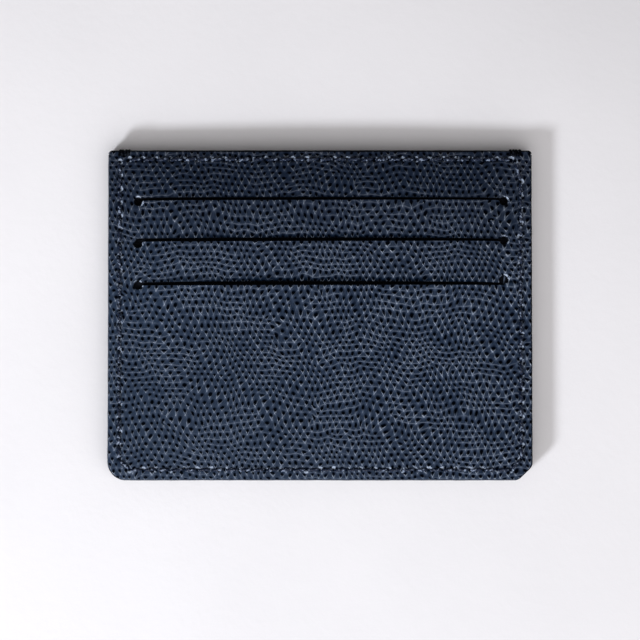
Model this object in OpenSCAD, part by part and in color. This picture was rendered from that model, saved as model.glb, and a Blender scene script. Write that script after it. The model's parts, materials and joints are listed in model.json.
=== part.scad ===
// Flat leather card holder: two slotted leather panels, back to back round an open-topped
// centre pocket, with three lined card pockets behind each panel.
// It lies on its back face: X is the width, Y runs up to the pocket mouths and Z out of the
// front. The origin is the middle of the back face. Lengths are in millimetres.

/* [Overall] */
// Width, with the painted edges
holder_w = 100; // [98:0.5:110]
// Height from the base to the mouth of the centre pocket, with the painted edges
holder_h = 77.8; // [76:0.1:90]
// Length that each lower corner cuts off the side and the base
corner_cut = 3.6; // [3:0.1:5]
// Radius that blends a corner cut into the side and the base
corner_blend_r = 3; // [1:0.1:3.2]
// Radius of the two upper corners
top_corner_r = 1; // [0.6:0.1:2]

/* [Layers] */
// Thickness of the grained outer leather
leather_t = 0.9; // [0.8:0.05:1.4]
// Thickness of a pocket lining
lining_t = 0.15; // [0.1:0.05:0.3]
// Space between two linings at rest, with no card in
pocket_gap = 0.2; // [0.1:0.05:1]
// Thickness of the leather on each wall of the centre pocket
inner_t = 0.35; // [0.3:0.05:0.8]
// Space inside the centre pocket
centre_gap = 0.9; // [0.8:0.1:3]
// Thickness of the paint on the cut edges
edge_paint_t = 0.25; // [0.15:0.05:0.4]

/* [Card slits] */
// Distance of each slit below the top edge
slit_from_top = [11.5, 21.2, 31.6]; // [10:0.1:34]
// Distance between the centres of the punched holes that end a slit
slit_length = 86.5; // [86.2:0.1:87]
// Width of the cut at rest
slit_w = 0.4; // [0.3:0.05:0.6]
// Radius of the punched holes
hole_r = 0.9; // [0.8:0.05:1.1]
// How far each hole at the left end sits below its slit
left_hole_drop = [0.75, 1, 0.4]; // [-1:0.05:1]
// How far each hole at the right end sits below its slit
right_hole_drop = [0.6, 0.2, -1]; // [-1:0.05:1]
// Thickness of the paint on the lips of the slits
lip_paint_t = 0.1; // [0.05:0.01:0.12]
// Depth of a card pocket below its slit
pocket_depth = 42.5; // [38:0.5:43]

/* [Borders] */
// Width of the bonded strip at the sides
side_border = 5.25; // [4.8:0.05:5.3]
// Width of the bonded strip at the base
base_border = 3.5; // [3:0.1:4]
// Width of the bonded strip along the top of each half
top_border = 6; // [5:0.1:7]
// Width of the strips that close the centre pocket
centre_border = 4; // [3.5:0.1:5]
// Width of the hem on a lining
hem_w = 3; // [2:0.1:3.5]

/* [Stitching] */
// Distance between stitch holes
stitch_pitch = 3.2; // [2.5:0.1:4]
// Distance of the side stitching from the edge
stitch_side = 2.75; // [2.5:0.05:3]
// Distance of the base stitching from the edge
stitch_base = 2.5; // [2.3:0.05:3]
// Distance of the top stitching from the edge
stitch_top = 2.2; // [2:0.05:2.6]
// Diameter of the thread
thread_d = 0.5; // [0.3:0.05:0.55]
// Loops of thread over the top edge at each corner
tack_loops = 4; // [2:1:5]

/* [Hidden] */

half_w = holder_w / 2;
half_h = holder_h / 2;
// The pocket stack lies between the outer leather and the inner panel.
stack_t = 3 * (lining_t + pocket_gap);
half_t = leather_t + stack_t + inner_t;
holder_t = 2 * half_t + centre_gap;

// Heights of the front half's layers. The back half is their mirror image.
leather_z = holder_t - leather_t;
stack_z = leather_z - stack_t;
inner_z = stack_z - inner_t;

slit_y = [for (drop = slit_from_top) half_h - drop];
pocket_x = half_w - edge_paint_t - side_border;
base_y = -half_h + edge_paint_t + base_border;
top_y = half_h - edge_paint_t - top_border;

groove_w = thread_d + 0.2;
groove_depth = thread_d + 0.02;
stitch_rest = 0.5;      // length of each stitch that is down its holes
row_gap = 0.2;          // between the top stitches and a corner tack
seam_start = 0.6;       // from the top stitch line down to the first stitch of the seam
bond = 0.01;            // adhesive between strips that meet edge to edge
paint_rounding = 0.15;  // how far the edge paint stops short of the faces
hem_rise = 2;           // from a slit up to the hem that hangs its lining

tack_w = 4;
tack_d = 0.4;
tack_sink = tack_d + 0.05;
tack_inset = 0.7;
tack_x = half_w - tack_inset - tack_w / 2;

arc_steps = 6;
min_arc_r = 0.3;
// Insetting an outline by 1 mm shortens a 45 degree corner cut by this much.
cut_shrink = 2 - sqrt(2);
cut_past = 1;
hole_fn = 32;
thread_fn = 16;

leather_colour = [0.13, 0.17, 0.25];
lining_colour = [0.08, 0.09, 0.13];
border_colour = [0.22, 0.22, 0.24];
paint_colour = [0.04, 0.045, 0.07];
thread_colour = [0.1, 0.12, 0.24];

function unit(v) = v / norm(v);

// The points of an arc of radius r that rounds the corner p between neighbours a and b.
function corner_arc(a, p, b, r) =
    let (
        u = unit(a - p),
        v = unit(b - p),
        half = acos(u * v) / 2,
        centre = p + unit(u + v) * r / sin(half),
        from = p + u * r / tan(half) - centre,
        to = p + v * r / tan(half) - centre,
        turn = 180 - 2 * half
    )
    [for (i = [0:arc_steps])
        let (s = i / arc_steps)
        centre + (sin((1 - s) * turn) * from + sin(s * turn) * to) / sin(turn)];

function rounded(points, radii) =
    let (n = len(points))
    [for (i = [0:n - 1])
        each corner_arc(points[(i + n - 1) % n], points[i], points[(i + 1) % n], radii[i])];

// The holder's outline, moved in from its sides, its base and its top edge.
function outline(side, base, top) =
    let (
        x = half_w - side,
        y0 = -half_h + base,
        y1 = half_h - top,
        cut = corner_cut - cut_shrink * base,
        blend = max(min_arc_r, corner_blend_r - base),
        top_r = max(min_arc_r, top_corner_r - top)
    )
    rounded(
        [[-x, y1], [-x, y0 + cut], [-x + cut, y0], [x - cut, y0], [x, y0 + cut], [x, y1]],
        [top_r, blend, blend, blend, blend, top_r]
    );

module sheet(z, t, inset) {
    translate([0, 0, z]) linear_extrude(t) polygon(outline(inset, inset, inset));
}

// A box given by two opposite corners.
module block(low, high) {
    translate(low) cube(high - low);
}

// Turns the front half's pieces into the back half's.
module to_back() {
    translate([0, 0, holder_t]) mirror([0, 0, 1]) children();
}

// One slit with its two punched holes, widened all round by grow.
module slit_shape(i, grow) {
    translate([0, slit_y[i]]) {
        square([slit_length, slit_w + 2 * grow], center = true);
        translate([-slit_length / 2, -left_hole_drop[i]]) circle(hole_r + grow, $fn = hole_fn);
        translate([slit_length / 2, -right_hole_drop[i]]) circle(hole_r + grow, $fn = hole_fn);
    }
}

// The channel that the thread is sunk in.
module stitch_groove() {
    difference() {
        polygon(outline(stitch_side - groove_w / 2, stitch_base - groove_w / 2, stitch_top - groove_w / 2));
        polygon(outline(stitch_side + groove_w / 2, stitch_base + groove_w / 2, stitch_top + groove_w / 2));
    }
}

// The notch over the top edge that a corner tack lies in, for both corners.
module tack_notches() {
    for (side = [-1, 1]) {
        x0 = side * tack_x - tack_w / 2;
        x1 = side * tack_x + tack_w / 2;
        block([x0, half_h - tack_sink, -cut_past], [x1, half_h + cut_past, holder_t + cut_past]);
        block([x0, half_h - stitch_top, holder_t - tack_sink], [x1, half_h + cut_past, holder_t + cut_past]);
        block([x0, half_h - stitch_top, -cut_past], [x1, half_h + cut_past, tack_sink]);
    }
}

module leather_panel() {
    color(leather_colour) difference() {
        sheet(leather_z, leather_t, edge_paint_t);
        for (i = [0:2])
            translate([0, 0, leather_z - cut_past])
                linear_extrude(leather_t + 2 * cut_past) slit_shape(i, lip_paint_t);
        translate([0, 0, holder_t - groove_depth]) linear_extrude(groove_depth + cut_past) stitch_groove();
        tack_notches();
    }
}

module slit_lip_paint() {
    color(paint_colour)
        for (i = [0:2])
            translate([0, 0, leather_z]) linear_extrude(leather_t) difference() {
                slit_shape(i, lip_paint_t);
                slit_shape(i, 0);
            }
}

// Four strips that fill the border of the pocket stack, so that the seam is firm.
module border_strips() {
    color(border_colour) difference() {
        sheet(stack_z, stack_t, edge_paint_t);
        block([-pocket_x, base_y, stack_z - cut_past], [pocket_x, top_y, stack_z + stack_t + cut_past]);
        for (side = [-1, 1])
            for (y = [base_y, top_y])
                translate([side * (pocket_x + half_w) / 2, y, stack_z + stack_t / 2])
                    cube([half_w - pocket_x + bond, bond, stack_t + cut_past], center = true);
        tack_notches();
    }
}

// A lining with the hem that is bonded to the leather above its slit, and the hem that closes
// the pocket's base. level counts linings inward from the leather: 0 is the lower pocket's.
module pocket_lining(level) {
    slit = slit_y[2 - level];
    z = leather_z - (level + 1) * (pocket_gap + lining_t);
    hem_top = min(top_y, slit + hem_rise + hem_w);
    foot = max(base_y, slit - pocket_depth);
    color(lining_colour) {
        block([-pocket_x, foot, z], [pocket_x, hem_top, z + lining_t]);
        block([-pocket_x, hem_top - hem_w, z + lining_t + bond], [pocket_x, hem_top, leather_z]);
        if (level > 0)
            block([-pocket_x, foot, z + lining_t + bond], [pocket_x, foot + hem_w, z + lining_t + pocket_gap]);
    }
}

module inner_panel() {
    color(leather_colour) difference() {
        sheet(inner_z, inner_t, edge_paint_t);
        tack_notches();
    }
}

// One stitch along X, with its middle at the origin.
module stitch(length) {
    r = thread_d / 2;
    bevel = r / 2;
    end = length / 2;
    rotate([0, 90, 0]) rotate_extrude($fn = thread_fn)
        polygon([[0, -end], [r - bevel, -end], [r, -end + bevel], [r, end - bevel], [r - bevel, end], [0, end]]);
}

// A row of stitches from a to b, sunk in the front face.
module stitch_row(a, b, count) {
    step = (b - a) / count;
    for (i = [0:count - 1])
        translate([each a + step * (i + 0.5), holder_t - groove_depth + thread_d / 2])
            rotate([0, 0, atan2(step.y, step.x)]) stitch(norm(step) - stitch_rest);
}

function stitches_in(a, b) = round(norm(b - a) / stitch_pitch);

module top_stitches() {
    x = tack_x - tack_w / 2 - row_gap;
    y = half_h - stitch_top;
    color(thread_colour) stitch_row([-x, y], [x, y], stitches_in([-x, y], [x, y]));
}

// The needle thread of the seam that goes down one side, along the base and up the other.
module seam_stitches() {
    x = half_w - stitch_side;
    y0 = -half_h + stitch_base;
    y1 = half_h - stitch_top - seam_start;
    cut = corner_cut - cut_shrink * stitch_base;
    color(thread_colour) {
        for (side = [-1, 1]) {
            stitch_row([side * x, y1], [side * x, y0 + cut], stitches_in([0, y1], [0, y0 + cut]));
            stitch_row([side * x, y0 + cut], [side * (x - cut), y0], 1);
        }
        stitch_row([cut - x, y0], [x - cut, y0], stitches_in([cut - x, y0], [x - cut, y0]));
    }
}

// The paint on the top edge of one half.
module top_edge_paint() {
    color(paint_colour) difference() {
        sheet(inner_z, holder_t - paint_rounding - inner_z, 0);
        translate([0, 0, -cut_past])
            linear_extrude(holder_t + 2 * cut_past) polygon(outline(edge_paint_t, edge_paint_t, edge_paint_t));
        block([-holder_w, -holder_h, -cut_past], [holder_w, half_h - top_corner_r, holder_t + cut_past]);
        tack_notches();
    }
}

// The paint on the edge where both halves are sewn together: both sides and the base.
module joined_edge_paint() {
    color(paint_colour) difference() {
        sheet(paint_rounding, holder_t - 2 * paint_rounding, 0);
        translate([0, 0, -cut_past])
            linear_extrude(holder_t + 2 * cut_past) polygon(outline(edge_paint_t, edge_paint_t, edge_paint_t));
        block([-holder_w, half_h - top_corner_r - bond, -cut_past], [holder_w, holder_h, holder_t + cut_past]);
    }
}

// Three strips between the inner panels, which close the centre pocket but for its top.
module centre_seam_strips() {
    x = half_w - edge_paint_t - centre_border;
    y = -half_h + edge_paint_t + centre_border;
    z = half_t;
    color(border_colour) difference() {
        sheet(z, centre_gap, edge_paint_t);
        block([-x, y, z - cut_past], [x, holder_h, z + centre_gap + cut_past]);
        for (side = [-1, 1])
            translate([side * (x + half_w) / 2, y, z + centre_gap / 2])
                cube([half_w - x + bond, bond, centre_gap + cut_past], center = true);
        tack_notches();
    }
}

// Loops of thread over the top edge, which lock the mouth of the centre pocket.
module corner_tack(side) {
    r = tack_d / 2;
    step = tack_w / tack_loops;
    y0 = half_h - stitch_top + r;
    y1 = half_h - tack_sink + r;
    z0 = tack_sink - r;
    z1 = holder_t - z0;
    color(thread_colour)
        for (i = [0:tack_loops - 1])
            translate([side * tack_x - tack_w / 2 + step * (i + 0.5), 0, 0]) {
                for (z = [z0, z1]) {
                    translate([0, y0, z]) rotate([-90, 0, 0]) cylinder(h = y1 - y0, r = r, $fn = thread_fn);
                    translate([0, y1, z]) sphere(r, $fn = thread_fn);
                }
                translate([0, y1, z0]) cylinder(h = z1 - z0, r = r, $fn = thread_fn);
            }
}

leather_panel();  // front_leather_panel
slit_lip_paint();  // front_slit_lip_paint
border_strips();  // front_border_strips
pocket_lining(0);  // front_lower_pocket_lining
pocket_lining(1);  // front_middle_pocket_lining
pocket_lining(2);  // front_upper_pocket_lining
inner_panel();  // front_inner_panel
top_stitches();  // front_top_stitches
seam_stitches();  // front_seam_stitches
top_edge_paint();  // front_top_edge_paint
to_back() leather_panel();  // back_leather_panel
to_back() slit_lip_paint();  // back_slit_lip_paint
to_back() border_strips();  // back_border_strips
to_back() pocket_lining(0);  // back_lower_pocket_lining
to_back() pocket_lining(1);  // back_middle_pocket_lining
to_back() pocket_lining(2);  // back_upper_pocket_lining
to_back() inner_panel();  // back_inner_panel
to_back() top_stitches();  // back_top_stitches
to_back() seam_stitches();  // back_seam_stitches
to_back() top_edge_paint();  // back_top_edge_paint
centre_seam_strips();
joined_edge_paint();
corner_tack(-1);  // left_corner_tack
corner_tack(1);  // right_corner_tack
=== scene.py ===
"""The looks of a leather card holder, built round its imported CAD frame.

Lengths and places are in millimetres, as in the CAD, and become metres when a mesh is made.
A panel's surface is given by its height out of the holder: out is 1 for the front half, whose
heights are Z itself, and -1 for the back half, whose outer face lies on the floor at height 0.
"""

import json
import math

import bpy
import numpy as np
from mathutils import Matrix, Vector
from mathutils.geometry import delaunay_2d_cdt


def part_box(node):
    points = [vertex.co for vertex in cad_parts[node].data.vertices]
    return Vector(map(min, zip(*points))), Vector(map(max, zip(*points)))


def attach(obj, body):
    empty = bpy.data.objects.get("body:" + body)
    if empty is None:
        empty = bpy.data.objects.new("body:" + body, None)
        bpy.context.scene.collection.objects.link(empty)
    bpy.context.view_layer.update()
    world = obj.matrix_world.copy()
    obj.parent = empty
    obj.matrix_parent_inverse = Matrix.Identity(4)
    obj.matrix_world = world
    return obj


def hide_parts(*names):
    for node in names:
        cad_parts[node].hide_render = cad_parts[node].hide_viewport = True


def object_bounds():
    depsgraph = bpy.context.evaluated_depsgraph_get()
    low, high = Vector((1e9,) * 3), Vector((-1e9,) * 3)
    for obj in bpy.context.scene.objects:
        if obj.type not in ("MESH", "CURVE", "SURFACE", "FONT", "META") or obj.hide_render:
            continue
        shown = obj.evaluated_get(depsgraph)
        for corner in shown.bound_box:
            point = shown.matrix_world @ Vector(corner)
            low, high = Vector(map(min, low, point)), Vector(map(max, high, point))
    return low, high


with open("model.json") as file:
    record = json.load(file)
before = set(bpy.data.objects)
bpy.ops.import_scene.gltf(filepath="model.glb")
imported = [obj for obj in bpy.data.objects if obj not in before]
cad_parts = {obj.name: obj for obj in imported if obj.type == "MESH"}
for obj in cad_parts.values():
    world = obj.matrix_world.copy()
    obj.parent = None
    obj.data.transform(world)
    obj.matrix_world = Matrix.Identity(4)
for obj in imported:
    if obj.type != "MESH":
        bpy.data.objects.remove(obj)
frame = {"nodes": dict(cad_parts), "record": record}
cad_low, cad_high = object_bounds()

MM = 0.001
SEED = 7

# ------------ sizes taken from the frame


def low_mm(node):
    return [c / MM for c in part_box(node)[0]]


def high_mm(node):
    return [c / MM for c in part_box(node)[1]]


HALF_W = cad_high.x / MM
HALF_H = cad_high.y / MM
THICK = cad_high.z / MM
LEVELS = ("lower", "middle", "upper")
MOUNT_Y = {m["name"]: m["pos_m"][1] / MM for m in frame["record"]["mounts"]}
SLIT_Y = [MOUNT_Y[f"front_{level}_slit"] for level in LEVELS]
PAINT_T = HALF_W - high_mm("front_leather_panel")[0]
LEATHER_Z = low_mm("front_leather_panel")[2]
BACK_LEATHER_TOP = high_mm("back_leather_panel")[2]
HOLE_R = 0.9  # radius of a punched hole inside its paint
HOLE_X = high_mm("front_slit_lip_paint")[0] - HOLE_R - 0.1
TACK_X = (low_mm("right_corner_tack")[0] + high_mm("right_corner_tack")[0]) / 2

# A value that differs between the sides is given for the left, -1, and for the right, 1.
CORNER_CUT = {-1: 2.6, 1: 3.35}  # sides of the triangle cut off a lower corner
CORNER_BLEND = {-1: 4.3, 1: 2.2}  # radius that softens the cut's ends
TOP_CORNER_R = 1.0
HOLE_AT = {-1: 0.35 - HOLE_X, 1: HOLE_X}
HOLE_DROP = {-1: (0.4, 1.0, 0.75), 1: (-1.0, 0.2, 0.6)}  # below the slits, lowest first
SEAM_SIDE = 2.75  # distance of the seam from the sides
SEAM_BASE = 2.5  # and from the base
SEAM_CUT = 2.5  # sides of the corner that the seam cuts off
SEAM_TOP = 2.2  # distance of the top row from the top edge
SEAM_START = 0.6  # how far below the top row the side rows begin
SLANT_DROP = 4.6  # how far below that start the slanted stitch on the right begins
SLANT_END = (-1.2, 0.3)  # where it ends, from that start
TOP_ROW_INSET = 2.2  # how far in from the tacks the top row ends
STITCH_PITCH = 3.2

# ------------ shape of the leather

GRID = 0.26  # spacing of the leather's grid
EDGE_ROUND = 0.3  # radius of the leather's outer edge
LIP_ROUND = 0.12  # radius of a cut lip
LIP_DROP = (0.27, 0.34, 0.36)  # how far below its line each slit's lower lip lies, lowest first
LIP_GAP = (0.5, 0.36, 0.2)  # how far above its line each slit gapes
LIP_TILT = 0.25  # share by which a lower lip lies higher at its right end
HIDDEN_STEP = 3.0  # spacing of the points inside a panel's hidden face
SKIN_T = 0.85  # thickness of the leather away from the edge
EDGE_Z = 5.0  # height of the front face at its sewn edge
MOUTH_GAPE = 0.6  # how far the front half bows out at the middle of the mouth
CLEARANCE = 0.02  # gap between a remade layer and the next

# The front face's rise above its edge along the middle of the holder, from the base to the top.
CROWN_Y = (-38.9, -36.0, -31.0, -22.0, -5.0, 7.3, 17.7, 27.4, 36.2, 38.9)
CROWN_Z = (0.0, 0.0, 0.45, 0.75, 0.9, 1.25, 1.6, 1.7, 0.15, 0.0)
CROWN_SOFT = 1.6  # width of the averaging that rounds the crown's bends
EDGE_ROLL = 0.5  # how far the face rolls down to its sewn edge
ROLL_REACH = 3.2  # how far in from the edge the roll reaches
SIDE_RISE = (3.0, 17.0)  # how far in from the sides the crown starts and is full
LIP_RISE = (0.65, 0.45, 0.2)  # how far each slit's lower lip lifts, lowest first
LIP_REACH = (6.5, 3.5, 3.0)  # how far down from the lip the lift is felt
TUCK = (0.6, 0.5, 0.3)  # how far the strip above each slit sinks at its cut edge
TUCK_REACH = (1.4, 1.2, 0.9)  # how far up from the slit it sinks
TUCK_SHADE = (0.92, 0.88, 0.7)  # how dark the shade painted on it is at its cut edge
SHADE_REACH = (1.05, 0.9, 0.5)  # how far up the painted shade reaches
BACK_SHARE = 0.28  # how much of the front's rolls and tucks the back has
BACK_LEVEL = 1.2  # the crown's height above which the back stays flat


def smooth(value, low, high):
    """0 below low, 1 above high, and a smooth step between them."""
    t = np.clip((value - low) / (high - low), 0, 1)
    return t * t * (3 - 2 * t)


def pairs(loop):
    """Each item with the next, round a loop."""
    return zip(loop, loop[1:] + loop[:1])


def crossing(lines, inset):
    """Where two lines (angle of the outward normal, distance), moved in by inset, meet."""
    normals = [[math.cos(angle), math.sin(angle)] for angle, _ in lines]
    return np.linalg.solve(normals, [distance - inset for _, distance in lines])


def inset_corners(lines, inset):
    """Corners of the convex shape inside the lines, moved in by inset."""
    return np.array([crossing(pair, inset) for pair in pairs(lines)])


def depth_in(corners, radius, x, y):
    """How far inside the rounded convex shape a point lies. It is negative outside."""
    nearest = np.full(np.shape(x), np.inf)
    inside = np.ones(np.shape(x), bool)
    for (ax, ay), (bx, by) in zip(corners, np.roll(corners, -1, axis=0)):
        ex, ey = bx - ax, by - ay
        t = np.clip(((x - ax) * ex + (y - ay) * ey) / (ex * ex + ey * ey), 0, 1)
        nearest = np.minimum(nearest, np.hypot(x - ax - t * ex, y - ay - t * ey))
        inside &= ex * (y - ay) - ey * (x - ax) > 0
    return radius + np.where(inside, nearest, -nearest)


FAR = 500  # distance of a line that doesn't matter
DIAGONAL = {side: (HALF_W + HALF_H - CORNER_CUT[side]) / math.sqrt(2) for side in (-1, 1)}
LEFT, RIGHT = (math.pi, HALF_W), (0, HALF_W)
LOWER_LEFT = (math.radians(225), DIAGONAL[-1])
BASE = (math.radians(270), HALF_H)
LOWER_RIGHT = (math.radians(315), DIAGONAL[1])
TOP = (math.radians(90), HALF_H)
FAR_LEFT, FAR_BASE, FAR_RIGHT, FAR_TOP = ((math.radians(a), FAR) for a in (180, 270, 0, 90))
# The outline is what lies inside all three shapes, each of which rounds corners its own way.
SHAPES = [
    (inset_corners(lines, radius), radius) for lines, radius in (
        ([LEFT, LOWER_LEFT, BASE, FAR_RIGHT, FAR_TOP], CORNER_BLEND[-1]),
        ([FAR_LEFT, BASE, LOWER_RIGHT, RIGHT, FAR_TOP], CORNER_BLEND[1]),
        ([LEFT, FAR_BASE, RIGHT, TOP], TOP_CORNER_R),
    )
]


def outline_depth(x, y):
    """How far inside the painted outline a point lies."""
    return np.minimum.reduce([depth_in(corners, radius, x, y) for corners, radius in SHAPES])


def slit_span(x):
    """1 at the middle of a slit, falling to 0 just past its holes."""
    return np.clip(1 - (x / (HOLE_X + 0.6)) ** 2, 0, 1) ** 0.6


def slit_distance(k, x, y):
    """How far outside slit k and its two punched holes a point lies."""
    above = y - SLIT_Y[k]
    gap = LIP_GAP[k] * (0.4 + 0.6 * slit_span(x))
    drop = LIP_DROP[k] * (1 - LIP_TILT * x / HOLE_X)
    ends = np.maximum(HOLE_AT[-1] - x, x - HOLE_AT[1])
    d = np.maximum(np.maximum(-drop - above, above - gap), ends)
    for side in (-1, 1):
        d = np.minimum(d, np.hypot(x - HOLE_AT[side], y - SLIT_Y[k] + HOLE_DROP[side][k]) - HOLE_R)
    return d


def leather_depth(x, y):
    """How far inside the flat of a leather panel, short of its rounded edges, a point lies."""
    d = outline_depth(x, y) - PAINT_T - EDGE_ROUND
    for k in range(3):
        d = np.minimum(d, slit_distance(k, x, y) - LIP_ROUND)
    return d


def seam_offset(x, y):
    """Distance inwards from the line of the stitching."""
    side = HALF_W - SEAM_SIDE - abs(x)
    base = y + HALF_H - SEAM_BASE
    corner = (side + base - SEAM_CUT) / math.sqrt(2)
    return np.minimum(np.minimum(side, corner), np.minimum(base, HALF_H - SEAM_TOP - y))


def soft_crown():
    """The crown's profile with its bends rounded: places and heights."""
    step, count = 0.1, 60
    ys = np.arange(-HALF_H - 10, HALF_H + 10, step)
    reach = np.arange(-count, count + 1) * step
    weights = np.exp(-((reach / CROWN_SOFT) ** 2))
    padded = np.interp(np.pad(ys, count, mode="reflect", reflect_type="odd"), CROWN_Y, CROWN_Z)
    return ys, np.convolve(padded, weights / weights.sum(), mode="valid")[: len(ys)]


CROWN = soft_crown()


def gape(x, y):
    """How far the front half bows out towards the middle of the pocket's mouth."""
    across = np.clip(1 - (x / (TACK_X - 1)) ** 2, 0, 1) ** 1.5
    return MOUTH_GAPE * across * smooth(y, -15, HALF_H + 15)


def crown(x, y):
    """The front face's rise above its sewn edge, without lips, seam or grain."""
    rise = np.interp(y, *CROWN) * smooth(HALF_W - abs(x), *SIDE_RISE)
    rise = rise - EDGE_ROLL * (1 - smooth(outline_depth(x, y), 0.0, ROLL_REACH))
    for k in range(3):
        above = y - SLIT_Y[k]
        lip = LIP_RISE[k] * np.exp(np.minimum(above, 0) / LIP_REACH[k]) * (above < 0)
        tuck = TUCK[k] * np.exp(-np.maximum(above, 0) / TUCK_REACH[k]) * (above >= 0)
        rise = rise + slit_span(x) * (lip - tuck)
    return rise


def front_height(x, y):
    return EDGE_Z + crown(x, y) + gape(x, y)


def crease(x, y):
    """A fold that runs from the lower slit's right hole to the seam."""
    along = smooth(x, HOLE_X + 0.4, HOLE_X + 0.9) * smooth(HALF_W - SEAM_SIDE - x, -0.3, 0.6)
    line = SLIT_Y[0] + 0.9 - 0.12 * (x - HOLE_X)
    return along * np.exp(-(((y - line) / 0.3) ** 2))


def back_height(x, y):
    """The back face lies flat on the floor, so only its edges and tucked strips stand off."""
    return BACK_SHARE * np.minimum(crown(x, y) - BACK_LEVEL, 0) - 0.04


# ------------ grain

GRAIN_ACROSS = 1.62  # distance between pits in a row
GRAIN_ALONG = 1.48  # distance between rows
GRAIN_WAVES = 12  # waves that disturb the even grain
GRAIN_TURN = 0.1  # how far they turn from it, in radians
GRAIN_SPREAD = 0.09  # how far their pitch strays from it
GRAIN_MIX = 0.2  # how strong each is
WANDER = ((23, 0.45), (9, 0.16), (4.2, 0.08), (2.7, 0.05))  # length and reach of its drift
PIT_PHASE = 1.4  # how far towards the base of its cell a pit lies, in radians
PIT_TURN = 0.3  # phase that makes the pits three-sided
PIT_FROM, PIT_TO = 0.7, 2.6  # sums of the phases' cosines where a pit starts and is full
PIT_DEPTH = 0.2
PIT_SHADE_FROM = -1.5  # the sum where painted shade begins round a pit
RIDGE_RISE = 0.09  # how far a ridge of height 1 stands up
RIDGE_WIDTH = 0.12  # how far from its middle a ridge fades, as a cosine
RIDGE_PHASE = 1.9  # where along its line a ridge is highest
RIDGE_LOW = 0.12  # how high it is at its lowest
RIDGES = (0.9, 1.0)  # height of the ridges on a pit's right and on its left
ROW_RIDGE = 0.32  # height of the ridges between the rows


def wander(x, y, rng):
    """Points moved a little, so that the grain's rows drift."""
    moved = [np.array(x, float), np.array(y, float)]
    for length, reach in WANDER:
        for axis in (0, 1):
            for _ in range(3):
                angle, phase = rng.uniform(0, 2 * math.pi, 2)
                k = 2 * math.pi / (length * rng.uniform(0.8, 1.25))
                wave = np.sin(k * (x * math.cos(angle) + y * math.sin(angle)) + phase)
                moved[axis] = moved[axis] + reach * wave * 0.8
    return moved


def grain_waves(x, y, seed):
    """Two unit phases per point, as complex numbers. A pit lies where both are at PIT_PHASE."""
    rng = np.random.default_rng(seed)
    x, y = wander(x, y, rng)
    phases = []
    for kx in (1 / GRAIN_ACROSS, -1 / GRAIN_ACROSS):
        base = np.array([kx, -0.5 / GRAIN_ALONG]) * 2 * math.pi
        total = np.exp(1j * (base[0] * x + base[1] * y))
        for _ in range(GRAIN_WAVES):
            turn = rng.normal(0, GRAIN_TURN)
            k = base * (1 + rng.normal(0, GRAIN_SPREAD))
            kx_j = k[0] * math.cos(turn) - k[1] * math.sin(turn)
            ky_j = k[0] * math.sin(turn) + k[1] * math.cos(turn)
            total = total + GRAIN_MIX * np.exp(1j * (kx_j * x + ky_j * y + rng.uniform(0, 6.28)))
        phases.append(total / np.maximum(abs(total), 1e-6))
    return phases


def grain_height(a, b):
    """Height of the grain from its two phases."""
    single = np.exp(1j * (PIT_TURN - PIT_PHASE))
    double = np.exp(-1j * (PIT_TURN + 2 * PIT_PHASE))
    total = (a * single).real + (b * single).real + (a * b * double).real
    ridges = 0
    for height, across, along in zip(RIDGES, (a, b), (b, a)):
        share = 0.5 + 0.5 * (along * np.exp(-1j * RIDGE_PHASE)).real
        line = np.exp(-(1 + across.real) / RIDGE_WIDTH)
        ridges = ridges + height * line * (RIDGE_LOW + (1 - RIDGE_LOW) * share)
    ridges = ridges + ROW_RIDGE * np.exp(((a * b).real - 1) / RIDGE_WIDTH)
    return RIDGE_RISE * ridges - PIT_DEPTH * smooth(total, PIT_FROM, PIT_TO)


# ------------ meshes


def contour_mesh(xs, ys, depth):
    """The part of a grid where depth is positive: points, faces, and loops round its rims.

    A loop runs with the material on its left.
    """
    gx, gy = np.meshgrid(xs, ys)
    d = depth(gx, gy)
    inside = d > 0
    index = np.full(d.shape, -1)
    index[inside] = np.arange(inside.sum())
    points = list(zip(gx[inside], gy[inside]))
    square = (index[:-1, :-1], index[:-1, 1:], index[1:, 1:], index[1:, :-1])
    full = np.minimum.reduce(square) >= 0
    faces = np.stack([corner[full] for corner in square], 1).tolist()
    crossings, following = {}, {}
    for j, i in zip(*np.nonzero(~full & (np.maximum.reduce(square) >= 0))):
        corners = ((j, i), (j, i + 1), (j + 1, i + 1), (j + 1, i))
        face, leaving, entering = [], [], []
        for a, b in pairs(corners):
            if inside[a]:
                face.append(int(index[a]))
            if inside[a] == inside[b]:
                continue
            key = (min(a, b), max(a, b))
            if key not in crossings:
                t = d[a] / (d[a] - d[b])
                crossings[key] = len(points)
                points.append((gx[a] + t * (gx[b] - gx[a]), gy[a] + t * (gy[b] - gy[a])))
            face.append(crossings[key])
            (leaving if inside[a] else entering).append((len(face), crossings[key]))
        faces.append(face)
        for place, start in leaving:
            later = [e for e in entering if e[0] > place] or entering
            following[start] = later[0][1]
    loops = []
    while following:
        start, at = following.popitem()
        loop = [start]
        while at != start:
            loop.append(at)
            at = following.pop(at)
        loops.append(loop)
    return np.array(points), faces, loops


def outward(depth, xy):
    """Unit vectors out of the material at its rim."""
    step = 0.02
    x, y = xy[:, 0], xy[:, 1]
    gx = depth(x - step, y) - depth(x + step, y)
    gy = depth(x, y - step) - depth(x, y + step)
    return np.stack([gx, gy], 1) / np.maximum(np.hypot(gx, gy), 1e-9)[:, None]


def new_object(name, verts_mm, faces, material, flat=False):
    mesh = bpy.data.meshes.new(name)
    mesh.from_pydata((np.asarray(verts_mm) * MM).tolist(), [], faces)
    mesh.update()
    if not flat:
        mesh.shade_smooth()
    obj = bpy.data.objects.new(name, mesh)
    bpy.context.scene.collection.objects.link(obj)
    mesh.materials.append(material)
    return obj


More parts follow.
